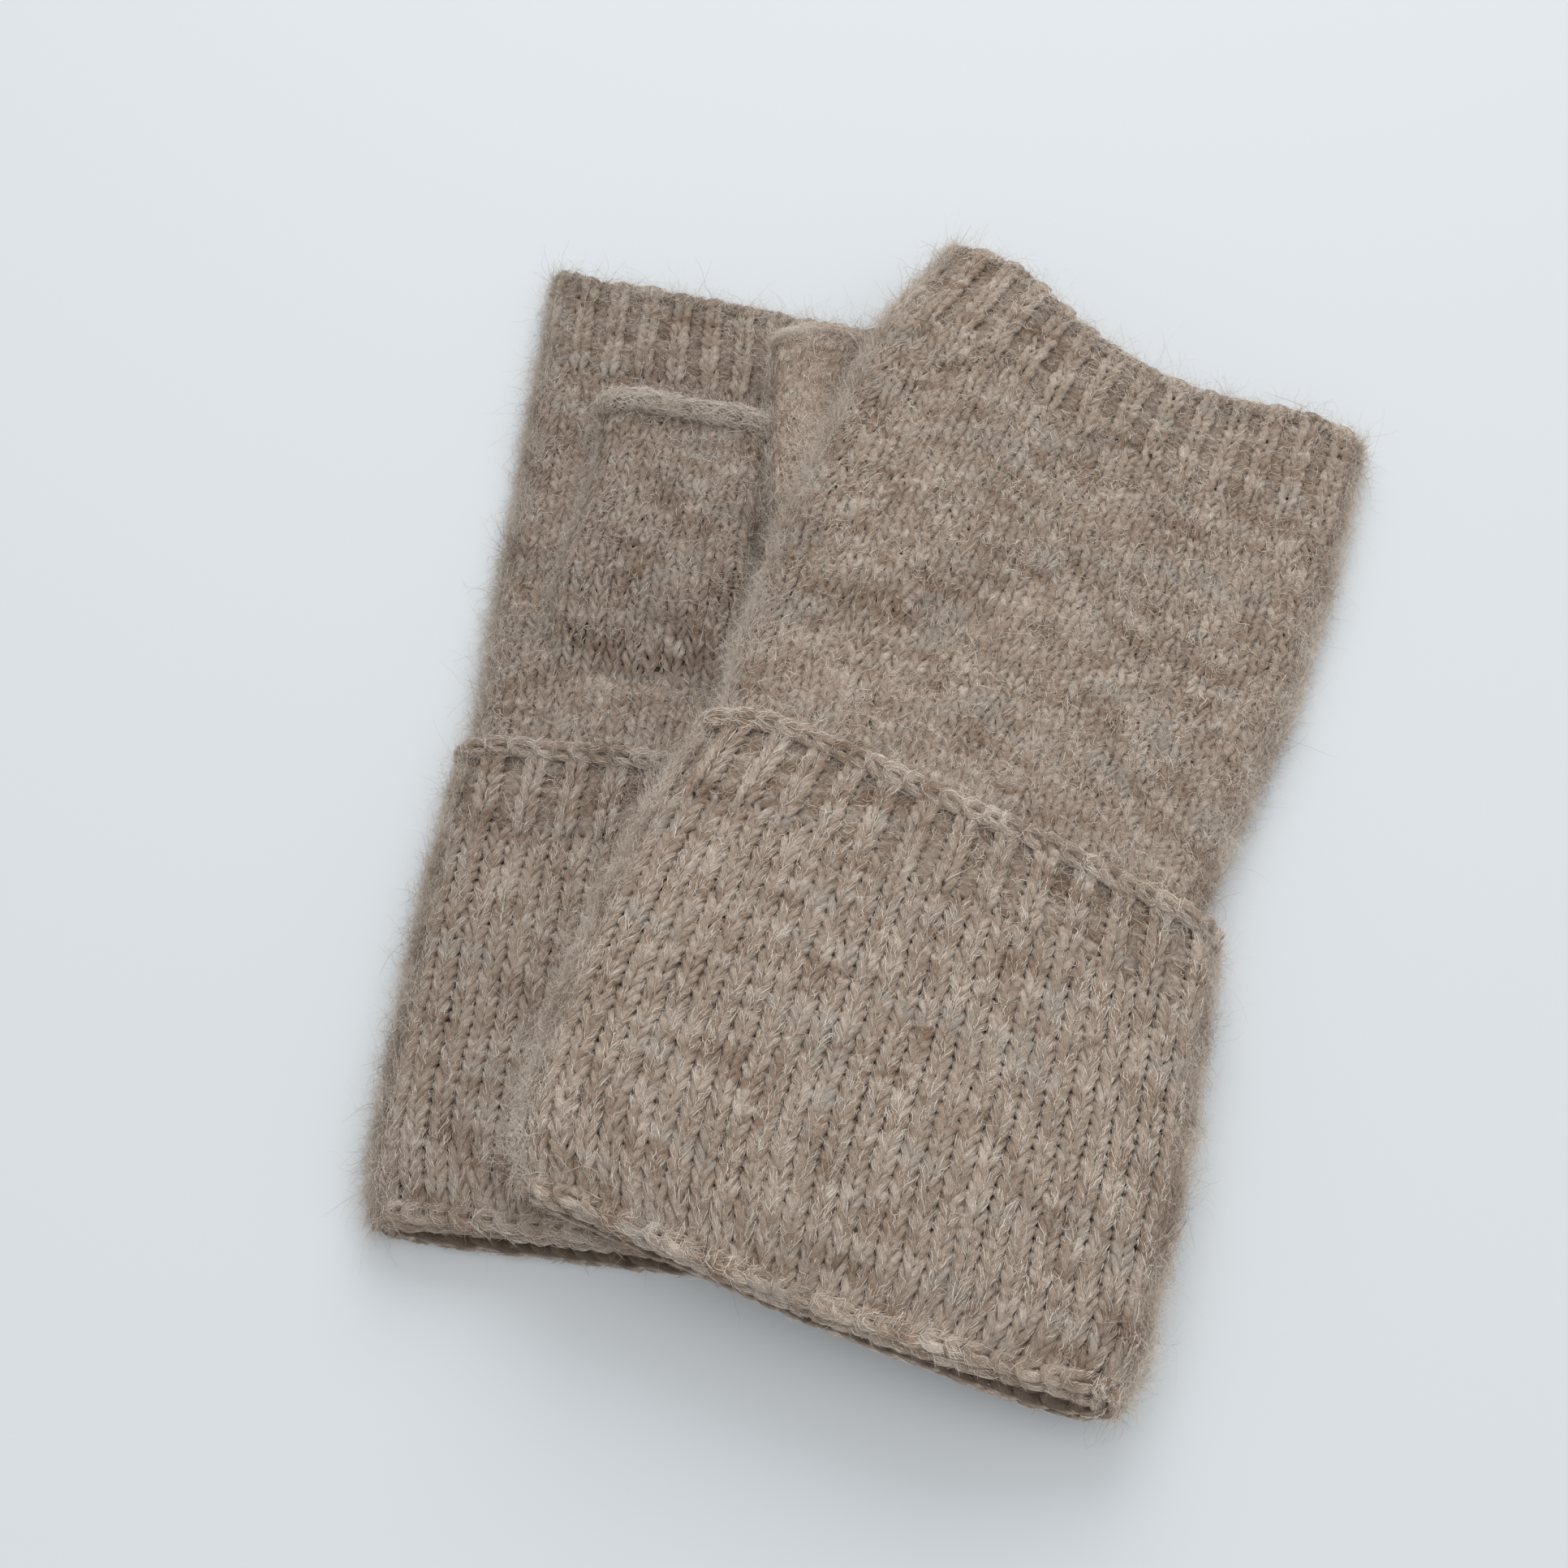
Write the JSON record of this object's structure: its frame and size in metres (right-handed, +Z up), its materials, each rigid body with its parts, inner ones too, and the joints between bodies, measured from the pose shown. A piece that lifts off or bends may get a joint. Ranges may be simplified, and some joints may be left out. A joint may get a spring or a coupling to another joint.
{
  "type": "pair of fingerless gloves",
  "caption": "Pair of knitted wool fingerless gloves with open thumb tubes, ribbed finger openings and deep turned-up cuffs, one lying across the other.",
  "frame": {"origin": "centre of the pair's outline, on the surface that the pair lies on", "axes": "+Y along the left glove from its hem to its fingers, +Z up from the table, +X towards the side where the right glove falls to the table"},
  "size_m": [0.1702, 0.2276, 0.0281],
  "materials": {
    "hand_knit": "brushed marled wool, fine plain knit, slightly felted",
    "cuff_knit": "brushed marled wool, larger crisp plain knit",
    "edge_yarn": "cast-off chain of the same marled wool"
  },
  "bodies": {
    "left_glove": {"left_hem_ridge": "edge_yarn", "left_wrist_tube": "cuff_knit", "left_cuff": "cuff_knit", "left_cuff_rib": "cuff_knit", "left_cuff_edge": "edge_yarn", "left_hand_tube": "hand_knit", "left_finger_rib": "hand_knit", "left_finger_edge": "edge_yarn", "left_thumb_gusset": "hand_knit"},
    "left_thumb": {"left_thumb_tube": "hand_knit", "left_thumb_edge": "edge_yarn"},
    "right_glove": {"right_hem_ridge": "edge_yarn", "right_wrist_tube": "cuff_knit", "right_cuff": "cuff_knit", "right_cuff_rib": "cuff_knit", "right_cuff_edge": "edge_yarn"},
    "right_hand": {"right_hand_tube": "hand_knit", "right_finger_rib": "hand_knit", "right_finger_edge": "edge_yarn", "right_thumb_gusset": "hand_knit"},
    "right_thumb": {"right_thumb_tube": "hand_knit", "right_thumb_edge": "edge_yarn"}
  },
  "joints": [
    {"name": "left_thumb_fold", "type": "hinge", "parent": "left_glove", "child": "left_thumb", "pos_m": [-0.05101, 0.03307, 0.0166], "axis": [1, 0, 0], "range_deg": [0, 70]},
    {"name": "right_lift", "type": "slide", "parent": "left_glove", "child": "right_glove", "axis": [0, 0, 1], "range_m": [0, 0.08]},
    {"name": "right_wrist_fold", "type": "hinge", "parent": "right_glove", "child": "right_hand", "pos_m": [0.01257, -0.01207, 0.0253], "axis": [0.9763, -0.2164, 0], "range_deg": [0, 40]},
    {"name": "right_thumb_swing", "type": "hinge", "parent": "right_hand", "child": "right_thumb", "pos_m": [-0.00062, 0.05493, 0.01285], "axis": [0, 0, 1], "range_deg": [-20, 0]}
  ]
}
